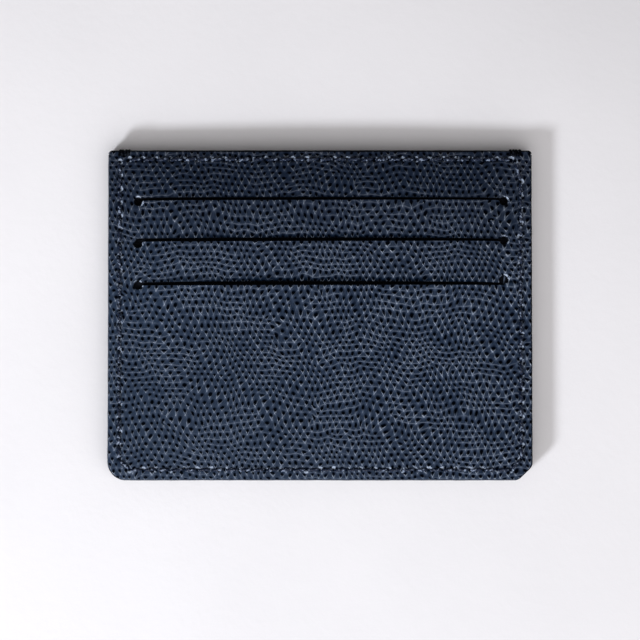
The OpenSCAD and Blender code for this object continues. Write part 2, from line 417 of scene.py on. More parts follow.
def store(obj, name, values, kind="FLOAT"):
    """Stores one value or vector per vertex."""
    attribute = obj.data.attributes.new(name, kind, "POINT")
    field = "vector" if kind == "FLOAT_VECTOR" else "value"
    attribute.data.foreach_set(field, np.asarray(values, np.float32).ravel())


def as_piece(obj, slot, *nodes):
    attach(obj, "root")
    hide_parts(*nodes)


def turned(faces, out):
    """Faces of a shape whose heights point along -Z are wound the other way."""
    return faces if out > 0 else [face[::-1] for face in faces]


def spaced(anchors, step):
    """Values from the first anchor to the last, about a step apart, that hit each anchor."""
    parts = [
        np.linspace(a, b, max(2, round((b - a) / step) + 1))[:-1]
        for a, b in zip(anchors, anchors[1:])
    ]
    return np.concatenate(parts + [[anchors[-1]]])


def grid_faces(rows, columns, round_rows=False, round_columns=False):
    """Faces of a grid of points, which may close on itself either way."""
    faces = []
    for j in range(rows if round_rows else rows - 1):
        for i in range(columns if round_columns else columns - 1):
            corners = ((j, i), (j, i + 1), (j + 1, i + 1), (j + 1, i))
            faces.append([(row % rows) * columns + column % columns for row, column in corners])
    return faces


def sheet(points, faces, loops, low, high):
    """A closed sheet over a flat mesh, from height low to height high."""
    n = len(points)
    faces = faces + [[i + n for i in face[::-1]] for face in faces]
    for loop in loops:
        faces += [[b, a, a + n, b + n] for a, b in pairs(loop)]
    return np.concatenate([np.column_stack([points, z(*points.T)]) for z in (high, low)]), faces


# ------------ stitches


def row_points(a, b):
    """Needle holes from a to b, evenly spaced."""
    a, b = np.array(a, float), np.array(b, float)
    count = round(np.linalg.norm(b - a) / STITCH_PITCH)
    return [a + (b - a) * i / count for i in range(count + 1)]


def seam_holes():
    """Needle holes of the seam: down the left side, along the base and up the right side."""
    x0, x1 = SEAM_SIDE - HALF_W, HALF_W - SEAM_SIDE
    y0, y1 = SEAM_BASE - HALF_H, HALF_H - SEAM_TOP - SEAM_START
    left = row_points((x0, y1), (x0, y0 + SEAM_CUT))
    base = row_points((x0 + SEAM_CUT, y0), (x1 - SEAM_CUT, y0))
    right = row_points((x1, y0 + SEAM_CUT), (x1, y1 - SLANT_DROP))
    return left + base + right + [np.array([x1, y1]) + SLANT_END]


TOP_ROW_X = TACK_X - TOP_ROW_INSET
SEAM_HOLES = seam_holes()
TOP_HOLES = row_points((-TOP_ROW_X, HALF_H - SEAM_TOP), (TOP_ROW_X, HALF_H - SEAM_TOP))
HOLES = SEAM_HOLES + TOP_HOLES


def dimples(x, y, holes, radius):
    """0 away from the needle holes and 1 at their middles."""
    total = np.zeros_like(x)
    for hx, hy in holes:
        near = (abs(x - hx) < 3 * radius) & (abs(y - hy) < 3 * radius)
        total[near] += np.exp(-((x[near] - hx) ** 2 + (y[near] - hy) ** 2) / radius**2)
    return np.minimum(total, 1)


def puckers(x, y, holes, radius=0.54, width=0.21, spread=1.1):
    """Leather that stands up beside each hole, mostly on its upper right if spread is small."""
    rng = np.random.default_rng(SEED)
    total = np.zeros_like(x)
    for hx, hy in holes:
        side, strength = rng.normal(0.7, spread), rng.uniform(0.55, 1.35)
        near = (abs(x - hx) < 2) & (abs(y - hy) < 2)
        dx, dy = x[near] - hx, y[near] - hy
        away = np.hypot(dx, dy)
        facing = 0.5 + 0.5 * (dx * math.cos(side) + dy * math.sin(side)) / np.maximum(away, 1e-6)
        rise = strength * facing**1.5 * np.exp(-(((away - radius) / width) ** 2))
        total[near] = np.maximum(total[near], rise)
    return total


PUNCHED = [
    (HOLE_AT[side], SLIT_Y[k] - HOLE_DROP[side][k]) for side in (-1, 1) for k in range(3)
]


def dishes(x, y):
    """How far the leather dips towards the punched holes: 1 at their rims."""
    total = np.zeros_like(x)
    for hx, hy in PUNCHED:
        away = np.hypot(x - hx, y - hy) - HOLE_R
        total = np.maximum(total, np.exp(-np.maximum(away, 0) / 0.3))
    return total


THREAD_R = 0.35
THREAD_TWIST = 2.6  # radians of twist per millimetre
STRANDS = 3


def cross_hint(path):
    """A direction that no part of the path runs along."""
    run = path[-1] - path[0]
    if np.hypot(run[0], run[1]) > 0.3:
        return np.cross(run, [0.0, 0.0, 1.0])
    return np.array([1.0, 0, 0])


def thread_tube(path, radius, twist, sides=12):
    """A twisted thread along a path: points and faces, with capped ends."""
    path = np.asarray(path)
    tangent = np.gradient(path, axis=0)
    tangent /= np.linalg.norm(tangent, axis=1)[:, None]
    length = np.concatenate([[0], np.cumsum(np.linalg.norm(np.diff(path, axis=0), axis=1))])
    side = np.cross(tangent, cross_hint(path))
    side /= np.linalg.norm(side, axis=1)[:, None]
    normal = np.cross(side, tangent)
    angle = np.arange(sides) * 2 * math.pi / sides
    lobes = 1 + 0.26 * np.cos(STRANDS * (angle[None, :] - twist * length[:, None]))
    r = radius * lobes
    ring = (
        path[:, None, :]
        + (r * np.cos(angle))[:, :, None] * side[:, None, :]
        + (r * np.sin(angle))[:, :, None] * normal[:, None, :]
    )
    faces = grid_faces(len(path), sides, round_columns=True)
    faces.append(list(range(sides))[::-1])
    faces.append(list(range((len(path) - 1) * sides, len(path) * sides)))
    return ring.reshape(-1, 3), faces


def joined(parts):
    """One list of points and one of faces from several."""
    points, faces, count = [], [], 0
    for p, f in parts:
        points.append(p)
        faces += [[i + count for i in face] for face in f]
        count += len(p)
    return np.concatenate(points), faces


def stitch_path(a, b, height, out, rng):
    """The way one stitch takes: out of a needle hole, over the leather and into the next."""
    a, b = np.array(a), np.array(b)
    run = (b - a) / np.linalg.norm(b - a)
    slant = np.array([-run[1], run[0]]) * (0.16 + rng.normal(0, 0.05)) * out
    share = np.linspace(0, 1, 17)
    inset, lift, plunge = 0.3, 0.08, 0.95
    start, end = a + run * inset - slant, b - run * inset + slant
    xy = start + (end - start) * share[:, None]
    dive = abs(2 * share - 1) ** 4
    z = height(*xy.T) + lift - plunge * dive + rng.normal(0, 0.04)
    return np.column_stack([xy, out * z])


def stitches(name, holes, height, out, node):
    """A row of stitches, one from each needle hole to the next."""
    rng = np.random.default_rng(SEED + len(name))
    paths = [stitch_path(a, b, height, out, rng) for a, b in zip(holes, holes[1:])]
    points, faces = joined([thread_tube(path, THREAD_R, THREAD_TWIST) for path in paths])
    as_piece(new_object(name, points, faces, THREAD), "thread", node)


# ------------ material helpers


class Nodes:
    """Builds a node tree."""

    def __init__(self, tree):
        self.tree = tree

    def add(self, kind, **settings):
        node = self.tree.nodes.new("ShaderNode" + kind)
        for key, value in settings.items():
            setattr(node, key, value)
        return node

    def put(self, socket, value):
        if hasattr(value, "is_output"):
            self.tree.links.new(value, socket)
        else:
            socket.default_value = value

    def math(self, operation, *values):
        node = self.add("Math", operation=operation)
        for socket, value in zip(node.inputs, values):
            self.put(socket, value)
        return node.outputs[0]

    def product(self, a, b):
        return self.math("MULTIPLY", a, b)

    def vector(self, operation, *values):
        node = self.add("VectorMath", operation=operation)
        for socket, value in zip(node.inputs, values):
            self.put(socket, value)
        return node.outputs["Value" if operation == "DOT_PRODUCT" else "Vector"]

    def step(self, value, low, high, to_low=0.0, to_high=1.0):
        """A smooth step, from to_low where the value is low to to_high where it is high."""
        node = self.add("MapRange", interpolation_type="SMOOTHSTEP")
        keys = ("Value", "From Min", "From Max", "To Min", "To Max")
        for key, v in zip(keys, (value, low, high, to_low, to_high)):
            self.put(node.inputs[key], v)
        return node.outputs[0]

    def mix(self, factor, a, b):
        """A mix of two colours, each a socket or linear red, green and blue."""
        node = self.add("Mix", data_type="RGBA")
        self.put(node.inputs["Factor"], factor)
        for socket, colour in ((node.inputs[6], a), (node.inputs[7], b)):
            self.put(socket, colour if hasattr(colour, "is_output") else (*colour, 1))
        return node.outputs[2]

    def noise(self, scale, detail=2.0, roughness=0.5):
        node = self.add("TexNoise")
        node.inputs["Scale"].default_value = scale
        node.inputs["Detail"].default_value = detail
        node.inputs["Roughness"].default_value = roughness
        self.put(node.inputs["Vector"], self.place())
        return node.outputs["Fac"]

    def place(self):
        """The point's place on the object, in metres."""
        return self.add("TexCoord").outputs["Object"]

    def along(self, *way):
        """How far the point lies along a direction, in metres."""
        return self.vector("DOT_PRODUCT", self.place(), way)

    def attribute(self, name, output="Fac"):
        return self.add("Attribute", attribute_name=name).outputs[output]

    def split(self, value):
        """The X, Y and Z of a vector."""
        node = self.add("SeparateXYZ")
        self.put(node.inputs[0], value)
        return node.outputs

    def flat(self, x, y):
        """The vector (x, y, 0)."""
        node = self.add("CombineXYZ")
        self.put(node.inputs[0], x)
        self.put(node.inputs[1], y)
        return node.outputs[0]


class Material(Nodes):
    """Builds one procedural material."""

    def __init__(self, name, **values):
        self.material = bpy.data.materials.new(name)
        self.material.use_nodes = True
        super().__init__(self.material.node_tree)
        self.shader = self.tree.nodes["Principled BSDF"]
        for key, value in values.items():
            self.shader.inputs[key.replace("_", " ")].default_value = value

    def colour(self, value):
        self.put(self.shader.inputs["Base Color"], value)

    def roughness(self, value):
        self.put(self.shader.inputs["Roughness"], value)

    def bump(self, height, distance, strength=1.0):
        """Relief that is distance metres high, in the shading only."""
        node = self.add("Bump")
        node.inputs["Strength"].default_value = strength
        node.inputs["Distance"].default_value = distance
        self.put(node.inputs["Height"], height)
        self.put(self.shader.inputs["Normal"], node.outputs["Normal"])


def complex_product(n, a, b):
    """Product of two unit phases held as vectors (cos, sin, 0)."""
    c, s = n.split(b)[0], n.split(b)[1]
    real = n.vector("DOT_PRODUCT", a, n.flat(c, n.product(s, -1.0)))
    return n.flat(real, n.vector("DOT_PRODUCT", a, n.flat(s, c)))


def turned_phase(n, phase, angle):
    """Cosine of a phase turned back by an angle."""
    return n.vector("DOT_PRODUCT", phase, (math.cos(angle), math.sin(angle), 0))


def narrow(n, away):
    """1 where a value is 0, fading as it grows past the ridges' width."""
    return n.math("EXPONENT", n.product(away, -1 / RIDGE_WIDTH))


def ridge(n, across, along):
    """A line where one phase points along -X, highest where the other is at RIDGE_PHASE."""
    line = narrow(n, n.math("ADD", turned_phase(n, across, 0), 1.0))
    share = n.step(turned_phase(n, along, RIDGE_PHASE), -1.0, 1.0, RIDGE_LOW, 1.0)
    return n.product(line, share)


def grain_pattern(n):
    """The grain's pits, the painted shade round them, and the crests of its ridges."""
    a = n.vector("NORMALIZE", n.attribute("grain_a", "Vector"))
    b = n.vector("NORMALIZE", n.attribute("grain_b", "Vector"))
    both = complex_product(n, a, b)
    side_phase = PIT_PHASE - PIT_TURN
    sides = n.math("ADD", turned_phase(n, a, side_phase), turned_phase(n, b, side_phase))
    total = n.math("ADD", sides, turned_phase(n, both, 2 * PIT_PHASE + PIT_TURN))
    size = n.step(n.noise(420, 2), 0.3, 0.7, -0.35, 0.5)
    pit = n.step(n.math("ADD", total, size), PIT_FROM, PIT_TO)
    painted_pit_shade = n.step(total, PIT_SHADE_FROM, PIT_FROM + 0.2, 0.0, 0.9)
    right = n.product(ridge(n, a, b), RIDGES[0])
    left = n.product(ridge(n, b, a), RIDGES[1])
    strength = n.step(n.noise(300, 2), 0.36, 0.66, 0.25, 1.3)
    crests = n.product(n.math("ADD", right, left), strength)
    row = narrow(n, n.math("SUBTRACT", 1.0, turned_phase(n, both, 0)))
    row = n.product(row, n.step(n.noise(130, 3), 0.42, 0.62, 0.0, ROW_RIDGE))
    return pit, painted_pit_shade, n.math("MAXIMUM", crests, row)


def grained_leather():
    """Navy leather: painted shade in pits and tucks, painted highlights on crests and by holes."""
    n = Material("grained_leather", Roughness=0.4)
    pit, painted_pit_shade, crests = grain_pattern(n)
    # Painted glints: pale colour beside the holes, mostly on the sides that face the light, broken
    # up by noise.
    painted_glint = n.product(n.attribute("painted_glint"), n.step(n.noise(1400, 2), 0.36, 0.58, 0.3, 1.3))
    painted_glint = n.step(painted_glint, 0.1, 0.62)
    pores = n.noise(5200, 3, 0.6)
    tone = n.step(n.noise(34, 4), 0.3, 0.7)
    dye_and_painted_light = n.mix(tone, (0.0098, 0.0238, 0.0545), (0.0145, 0.0312, 0.068))
    # Painted shade: the leather round each pit is darker.
    dye_and_painted_light = n.mix(painted_pit_shade, dye_and_painted_light, (0.002, 0.0058, 0.0155))
    # Painted highlight: the ridges' crests are painted pale, where they catch the light.
    dye_and_painted_light = n.mix(crests, dye_and_painted_light, (0.225, 0.28, 0.38))
    # Painted light: the leather is paler towards the lower left, where the light comes from.
    painted_lower_left_light = n.step(n.along(-0.75, -0.66, 0), -0.012, 0.052, 0.0, 0.36)
    dye_and_painted_light = n.mix(painted_lower_left_light, dye_and_painted_light, (0.035, 0.055, 0.095))
    # Painted shade: the leather is darker towards the mouth.
    painted_top_shade = n.step(n.along(0, 1, 0), 0.0, (HALF_H - 0.9) * MM, 0.0, 0.66)
    dye_and_painted_light = n.mix(painted_top_shade, dye_and_painted_light, (0.004, 0.008, 0.019))
    dye_and_painted_light = n.mix(painted_glint, dye_and_painted_light, (0.38, 0.46, 0.6))
    # Painted shade: the pits and the hollows are painted near black, and the crests show a little
    # through the hollows' shade.
    tips = n.math("SUBTRACT", 1.0, n.product(n.math("MINIMUM", crests, 1.0), 0.6))
    painted_shade = n.math("MAXIMUM", pit, n.product(n.attribute("painted_hollow_shade"), tips))
    n.colour(n.mix(n.product(painted_shade, 0.97), dye_and_painted_light, (0.0002, 0.0005, 0.0016)))
    shine = n.step(crests, 0.0, 1.0, n.step(painted_pit_shade, 0.0, 1.0, 0.2, 0.04), 0.62)
    n.put(n.shader.inputs["Specular IOR Level"], n.step(painted_shade, 0.0, 0.6, shine, 0.0))
    rough = n.math("ADD", n.step(pores, 0.3, 0.7, -0.05, 0.05), n.step(tone, 0, 1, 0.3, 0.37))
    n.roughness(n.math("ADD", rough, n.product(painted_shade, 0.3)))
    height = n.math("SUBTRACT", n.product(crests, 0.7), pit)
    n.bump(n.math("ADD", height, n.product(pores, 0.08)), 0.00022)
    return n.material


def edge_paint():
    """Near-black paint with a painted highlight on the front rim of the left side and the base."""
    n = Material("edge_paint", Roughness=0.5, Specular_IOR_Level=0.05)
    tone = n.step(n.noise(120, 3), 0.3, 0.7)
    paint = n.mix(tone, (0.0008, 0.0011, 0.0026), (0.0018, 0.0024, 0.005))
    left = n.step(n.along(-1, 0, 0), (HALF_W - 0.6) * MM, (HALF_W - 0.3) * MM)
    base = n.step(n.along(0, -1, 0), (HALF_H - 0.6) * MM, (HALF_H - 0.3) * MM, 0.0, 0.7)
    rim = n.step(n.along(0, 0, 1), (EDGE_Z - 1.4) * MM, (EDGE_Z - 0.4) * MM)
    # Painted highlight: the rims of the left side and of the base, which face the light, are
    # paler.
    painted_highlight = n.product(n.math("MAXIMUM", left, base), rim)
    n.colour(n.mix(painted_highlight, paint, (0.075, 0.092, 0.125)))
    n.roughness(n.step(n.noise(900, 3), 0.3, 0.7, 0.44, 0.58))
    n.bump(n.noise(700, 3), 0.00004)
    return n.material


def thread(name, shade):
    """Twisted waxed thread with painted glints. A shade of 1 is navy, and less is darker."""
    n = Material(name, Roughness=0.35, Specular_IOR_Level=0.22 * shade)
    fibre = n.noise(6000, 3, 0.6)
    low, high, pale = (
        tuple(c * shade for c in colour)
        for colour in ((0.001, 0.003, 0.01), (0.009, 0.019, 0.05), (0.2, 0.25, 0.35))
    )
    # Painted glints: pale flecks on the thread.
    painted_highlight = n.step(n.noise(1300, 2), 0.54, 0.64, 0.0, 0.85)
    n.colour(n.mix(painted_highlight, n.mix(n.step(fibre, 0.35, 0.65), low, high), pale))
    n.roughness(n.step(fibre, 0.3, 0.7, 0.24, 0.4))
    n.bump(fibre, 0.00006)
    return n.material


def woven_lining():
    n = Material("pocket_lining", Roughness=0.85, Specular_IOR_Level=0.1)
    weave = []
    for axis in ("X", "Y"):
        wave = n.add("TexWave", bands_direction=axis)
        wave.inputs["Scale"].default_value = 900
        wave.inputs["Distortion"].default_value = 0.3
        n.put(wave.inputs["Vector"], n.place())
        weave.append(wave.outputs["Fac"])
    threads = n.math("MAXIMUM", *weave)
    n.colour(n.mix(threads, (0.0006, 0.0008, 0.002), (0.004, 0.005, 0.009)))
    n.bump(threads, 0.00004)
    return n.material


def inner_leather():
    """Smooth leather with fine pores."""
    n = Material("inner_leather", Roughness=0.6)
    tone = n.step(n.noise(60, 4), 0.3, 0.7)
    n.colour(n.mix(tone, (0.010, 0.014, 0.025), (0.016, 0.021, 0.034)))
    pores = n.add("TexVoronoi", feature="DISTANCE_TO_EDGE")
    pores.inputs["Scale"].default_value = 1500
    n.put(pores.inputs["Vector"], n.place())
    n.roughness(n.step(pores.outputs["Distance"], 0.0, 0.3, 0.7, 0.52))
    n.bump(n.step(pores.outputs["Distance"], 0.0, 0.2), 0.00003)
    return n.material


def border_board():
    n = Material("border_board", Roughness=0.8)
    fibre = n.noise(2500, 4, 0.65)
    n.colour(n.mix(n.step(fibre, 0.3, 0.7), (0.008, 0.010, 0.016), (0.022, 0.025, 0.034)))
    n.bump(fibre, 0.00005)
    return n.material


def pale_floor():
    """Pale paper, with painted shade a little darker towards the mouth and the upper right."""
    n = Material("pale_floor", Roughness=0.75)
    tone = n.step(n.noise(16, 5, 0.6), 0.3, 0.7)
    paper_and_painted_shade = n.mix(tone, (0.85, 0.85, 0.885), (0.88, 0.88, 0.915))
    # Painted shade: the floor darkens away from the light, towards the mouth and the upper right.
    paper_and_painted_shade = n.mix(n.step(n.along(0, 1, 0), 0.01, 0.08, 0.0, 0.055), paper_and_painted_shade, (0, 0, 0))
    paper_and_painted_shade = n.mix(n.step(n.along(1, 1, 0), 0.06, 0.15, 0.0, 0.08), paper_and_painted_shade, (0, 0, 0))
    n.colour(paper_and_painted_shade)
    n.bump(n.noise(450, 4, 0.6), 0.0001, 0.5)
    return n.material


LEATHER, PAINT = grained_leather(), edge_paint()
THREAD, TACK_THREAD = thread("thread", 1), thread("tack_thread", 0.07)
LINING, INNER, BOARD = woven_lining(), inner_leather(), border_board()

# ------------ leather panels


def under_height(x, y, out):
    """Height of the hidden face of a panel."""
    if out > 0:
        return np.maximum(front_height(x, y) - SKIN_T, LEATHER_Z + CLEARANCE + gape(x, y))
    return np.full(np.shape(x), CLEARANCE - BACK_LEATHER_TOP)


def hidden_face(rims):
    """Triangles between rims, with a few points in the middle so that they follow the panel."""
    xs = np.arange(2.0 - HALF_W, HALF_W, HIDDEN_STEP)
    ys = np.arange(1.9 - HALF_H, HALF_H, HIDDEN_STEP)
    gx, gy = np.meshgrid(xs, ys)
    keep = leather_depth(gx, gy) > 0.6
    points = np.concatenate([*rims, np.stack([gx[keep], gy[keep]], 1)])
    edges, start = [], 0
    for rim in rims:
        edges += pairs(list(range(start, start + len(rim))))
        start += len(rim)
    made = delaunay_2d_cdt([Vector(p) for p in points], edges, [], 0, 1e-6, True)
    places, triangles = made[0], made[2]
    source = [given[0] if given else -1 for given in made[3]]
    kept = []
    for t in triangles:
        middle = sum((places[i] for i in t), Vector((0, 0))) / len(t)
        if leather_depth(np.array(middle.x), np.array(middle.y)) > -LIP_ROUND * 0.9:
            kept.append([source[i] for i in t])
    return points, kept


def leather_surface(x, y, out, height, seed):
    """Height of a panel's outer face with its grain, seam and holes."""
    seam = seam_offset(x, y)
    groove = np.exp(-((seam / 0.55) ** 2))
    press = (1 - 0.55 * np.exp(-((seam / 0.9) ** 2))) * smooth(leather_depth(x, y), -0.3, 0.9)
    grain = grain_height(*grain_waves(x, y, seed)) * press
    surface = height(x, y) + grain - 0.14 * groove - 0.55 * dimples(x, y, HOLES, 0.55)
    surface = surface - 0.3 * crease(x, y) + 0.2 * puckers(x, y, HOLES) - 0.26 * dishes(x, y)
    return np.maximum(surface, under_height(x, y, out) + 0.06)


def rolled_rim(loop, first, xy, normal, top, below, radius):
    """Rings that roll a rim over and down to the hidden face: points, faces and the last ring.

    The rim's own points have the numbers in loop, and the rings' are numbered on from first.
    """
    turns = np.radians((30, 60, 90))
    rings = [(math.sin(t) * radius, top - (1 - math.cos(t)) * radius) for t in turns]
    rings.append((radius, below))
    verts, faces, previous, n = [], [], loop, len(loop)
    for reach, z in rings:
        verts.append(np.column_stack([xy + normal * reach, z]))
        ring = list(range(first, first + n))
        faces += [[b, a, c, d] for (a, b), (c, d) in zip(pairs(previous), pairs(ring))]
        first, previous = first + n, ring
    return verts, faces, ring


def store_looks(obj, x, y, seed):
    """Stores what the leather's material reads: the grain, painted shade and painted glints."""
    for name, phase in zip(("grain_a", "grain_b"), grain_waves(x, y, seed)):
        values = np.column_stack([phase.real, phase.imag, np.zeros(len(x))])
        store(obj, name, values, "FLOAT_VECTOR")
    # Painted shade: darkness in the needle holes, along the crease, and on each strip where it
    # tucks under a slit's lower lip.
    painted_hollow_shade = np.maximum(1.5 * dimples(x, y, HOLES, 0.42), 0.8 * crease(x, y))
    for k in range(3):
        above = y - SLIT_Y[k] - LIP_GAP[k]
        shade = np.exp(-((above / SHADE_REACH[k]) ** 2)) * (above > -LIP_GAP[k]) * slit_span(x)
        painted_hollow_shade = np.maximum(painted_hollow_shade, TUCK_SHADE[k] * shade)
    store(obj, "painted_hollow_shade", np.clip(painted_hollow_shade, 0, 1))
    # Painted glints: pale colour beside the needle holes and on the punched holes' rims, mostly on
    # the sides that face the light.
    punched = puckers(x, y, PUNCHED, HOLE_R + 0.3, 0.15, 0.3)
    store(obj, "painted_glint", np.maximum(puckers(x, y, HOLES), 0.8 * punched))


def leather_panel(name, out, height, seed, node):
    """A grained panel with cut slits. Returns the rims of its slits, for the painted lips."""
    xs = spaced((-HALF_W, HALF_W), GRID)
    ys = spaced((-HALF_H, *SLIT_Y, HALF_H), GRID)
    points, faces, loops = contour_mesh(xs, ys, leather_depth)
    surface = leather_surface(*points.T, out, height, seed)
    verts = [np.column_stack([points, surface])]
    count = len(points)
    slits, last_rings, last_points = [], [], []
    for loop in loops:
        xy, top = points[loop], surface[loop]
        normal, below = outward(leather_depth, xy), under_height(*xy.T, out)
        is_edge = outline_depth(*xy[0]) < 2
        radius = EDGE_ROUND if is_edge else LIP_ROUND
        rings, rim_faces, last = rolled_rim(loop, count, xy, normal, top, below, radius)
        verts += rings
        faces += rim_faces
        count = last[-1] + 1
        last_rings += last
        last_points.append(xy + normal * radius)
        if not is_edge:
            slits.append((xy, normal, top, below))
    hidden, triangles = hidden_face(last_points)
    added = hidden[len(last_rings):]
    verts.append(np.column_stack([added, under_height(*added.T, out)]))
    numbers = last_rings + list(range(count, count + len(added)))
    faces += [[numbers[i] for i in t][::-1] for t in triangles]
    verts = np.concatenate(verts)
    verts[:, 2] *= out
    obj = new_object(name, verts, turned(faces, out), LEATHER)
    store_looks(obj, verts[:, 0], verts[:, 1], seed)
    as_piece(obj, "grained_leather", node)
    return slits


# The painted lip's section: its reach over the cut, and its rise from the face or from below.
LIP_SECTION = (
    (0.03, 0.015, True), (0.09, 0.0, True), (0.14, -0.05, True), (0.15, -0.14, True),
    (0.15, 0.03, False), (0.09, 0.03, False), (0.09, -0.16, True), (0.05, -0.05, True),
)


def lip_paint(name, out, slits, node):
    """Paint over the cut faces of the slits and holes."""
    parts = []
    for xy, normal, top, below in slits:
        strips = [
            np.column_stack([xy + normal * reach, (top if from_top else below) + rise])
            for reach, rise, from_top in LIP_SECTION
        ]
        parts.append((np.concatenate(strips), grid_faces(len(strips), len(xy), True, True)))
    verts, faces = joined(parts)
    verts[:, 2] *= out
    as_piece(new_object(name, verts, turned(faces, -out), PAINT), "edge_paint", node)


front_slits = leather_panel("front_leather", 1, front_height, SEED, "front_leather_panel")
back_slits = leather_panel("back_leather", -1, back_height, SEED + 4, "back_leather_panel")
lip_paint("front_slit_lips", 1, front_slits, "front_slit_lip_paint")
lip_paint("back_slit_lips", -1, back_slits, "back_slit_lip_paint")

# ------------ thread

for row, holes in (("seam", SEAM_HOLES), ("top", TOP_HOLES)):
    for half, height, out in (("front", front_height, 1), ("back", back_height, -1)):
        stitches(f"{half}_{row}_thread", holes, height, out, f"{half}_{row}_stitches")

TACK_LOOPS = 4
TACK_PITCH = 0.7  # distance between loops
TACK_SHIFT = 1.15  # how far in from its CAD place a tack's loops are sewn
TACK_DEPTH = 1.4  # how far down from the top edge they reach
TACK_R = 0.33
TACK_TWIST = 3.0


def softened(path):
    """A path with its bends rounded by averaging neighbours."""
    weights = np.exp(-((np.arange(-4, 5) / 2.2) ** 2))
    weights /= weights.sum()
    return np.column_stack([
        np.convolve(np.pad(values, 4, mode="edge"), weights, mode="valid") for values in path.T
    ])


def corner_tack(name, side, node):
    """Loops of thread that wrap over the top edge and lock the corner of the mouth."""
    rng = np.random.default_rng(SEED + side)
    y_hole, y_edge = HALF_H - TACK_DEPTH, HALF_H - 0.1
    parts = []
    for i in range(TACK_LOOPS):
        off = (i - (TACK_LOOPS - 1) / 2) * TACK_PITCH
        x = side * (TACK_X - TACK_SHIFT) + off + rng.normal(0, 0.05)
        lean = rng.normal(0.12, 0.08)
        front, back = front_height(x, HALF_H - 1), -back_height(x, HALF_H - 1)
        corners = np.array([
            [x - lean, y_hole, front - 0.7], [x - lean, y_hole + 0.15, front + 0.02],
            [x, y_edge - 0.6, front + 0.1], [x, y_edge, front - 0.35],
            [x, y_edge + 0.08, front - 1.2], [x + 0.04, y_edge + 0.06, (front + back) / 2],
            [x, y_edge + 0.08, back + 1.2], [x, y_edge, back + 0.4],
            [x + lean, y_edge - 0.6, back + 0.2], [x + lean, y_hole + 0.15, back + 0.2],
            [x + lean, y_hole, back + 0.9],
        ])
        at = np.linspace(0, len(corners) - 1, 60)
        path = np.column_stack([np.interp(at, range(len(corners)), c) for c in corners.T])
        parts.append(thread_tube(softened(path), TACK_R, TACK_TWIST))
    points, faces = joined(parts)
    as_piece(new_object(name, points, faces, TACK_THREAD), "thread", node)


corner_tack("left_tack_thread", -1, "left_corner_tack")
corner_tack("right_tack_thread", 1, "right_corner_tack")

# ------------ painted edges


def outline_path():
    """Points and outward normals round the painted outline, anticlockwise from the top left."""
    step = 0.5
    lines = [TOP, LEFT, LOWER_LEFT, BASE, LOWER_RIGHT, RIGHT]
    radii = [TOP_CORNER_R, *[CORNER_BLEND[-1]] * 2, *[CORNER_BLEND[1]] * 2, TOP_CORNER_R]
    arcs = []
    for pair, r in zip(pairs(lines), radii):
        (a, _), (b, _) = pair
        turn = (b - a) % (2 * math.pi)
        angles = a + np.linspace(0, turn, max(4, math.ceil(turn * r / step * 2)))
        normal = np.column_stack([np.cos(angles), np.sin(angles)])
        arcs.append((crossing(pair, r) + r * normal, normal))
    points, normals = [], []
    for (arc, normal), (later, _) in pairs(arcs):
        gap = later[0] - arc[-1]
        t = np.linspace(0, 1, max(2, round(np.linalg.norm(gap) / step)) + 1)[1:-1, None]
        points += [arc, arc[-1] + gap * t]
        normals += [normal, np.tile(normal[-1], (len(t), 1))]
    return np.concatenate(points), np.concatenate(normals)


WOBBLE = 0.012  # how far the paint strays from its path
WOBBLE_PERIODS = (140, 47, 19, 9)  # in points of the path
BEAD_ROUND = 0.62  # how far in the paint rounds at its rims


def bead(path, normal, low, high, seed, seams):
    """A painted edge, from height low to height high, as a closed strip along a path.

    Seams are the shares of its height where layers meet and leave a fine groove.
    """
    rng = np.random.default_rng(seed)
    n = len(path)
    wobble = np.zeros(n)
    for period in WOBBLE_PERIODS:
        wobble += WOBBLE * np.sin(np.arange(n) * 2 * math.pi / period + rng.uniform(0, 6))
    up = np.linspace(0, 1, 23)
    reach = -BEAD_ROUND * abs(2 * up - 1) ** 9
    for at in seams:
        reach = reach - 0.07 * np.exp(-(((up - at) / 0.03) ** 2))
    sections = [
        np.column_stack([path + normal * (r + wobble[:, None]), low + (high - low) * u])
        for u, r in zip(up, reach)
    ]
    inner = [np.column_stack([path - normal * 0.7, h]) for h in (high - 0.25, low + 0.25)]
    rings = np.stack(sections + inner)
    first = [j * n for j in range(len(rings))]
    faces = grid_faces(len(rings), n, round_rows=True)
    faces += [first, [i + n - 1 for i in first[::-1]]]
    return rings.reshape(-1, 3), faces


def painted_edges():
    path, normal = outline_path()
    on_top = path[:, 1] > HALF_H - TOP_CORNER_R
    start = np.argmax(~on_top)
    path, normal, on_top = (np.roll(v, -start, axis=0) for v in (path, normal, on_top))
    sewn, top = np.flatnonzero(~on_top), np.flatnonzero(on_top)
    inset = path - normal * 0.8
    low, high = -back_height(*inset.T) - 0.03, front_height(*inset.T) + 0.05
    seam_low = low_mm("front_inner_panel")[2] + gape(*path[top].T)
    back_high = np.full(len(top), high_mm("back_inner_panel")[2])
    for name, part, z0, z1, seed, seams in (
        ("joined_edge", sewn, low[sewn], high[sewn], 3, (0.5, 0.27, 0.73)),
        ("front_top_edge", top, seam_low, high[top], 4, (0.2, 0.7)),
        ("back_top_edge", top, low[top], back_high, 5, (0.3, 0.8)),
    ):
        verts, faces = bead(path[part], normal[part], z0, z1, seed, seams)
        as_piece(new_object(name, verts, faces, PAINT), "edge_paint", f"{name}_paint")


painted_edges()

# ------------ linings and inner leather


SHEET_STEP = 1.2  # spacing of the grids of the layers
LINING_STEP = 2.0  # and of the linings
LINING_T = 0.15  # thickness of a lining below its hem
HEM = 3.0  # height of the thicker hem at its top


def panel_depth(x, y):
    """How far inside the outline of a layer a point lies."""
    return outline_depth(x, y) - PAINT_T - CLEARANCE


def bowed(z):
    """A height that bows out with the mouth."""
    return lambda x, y: z + gape(x, y)


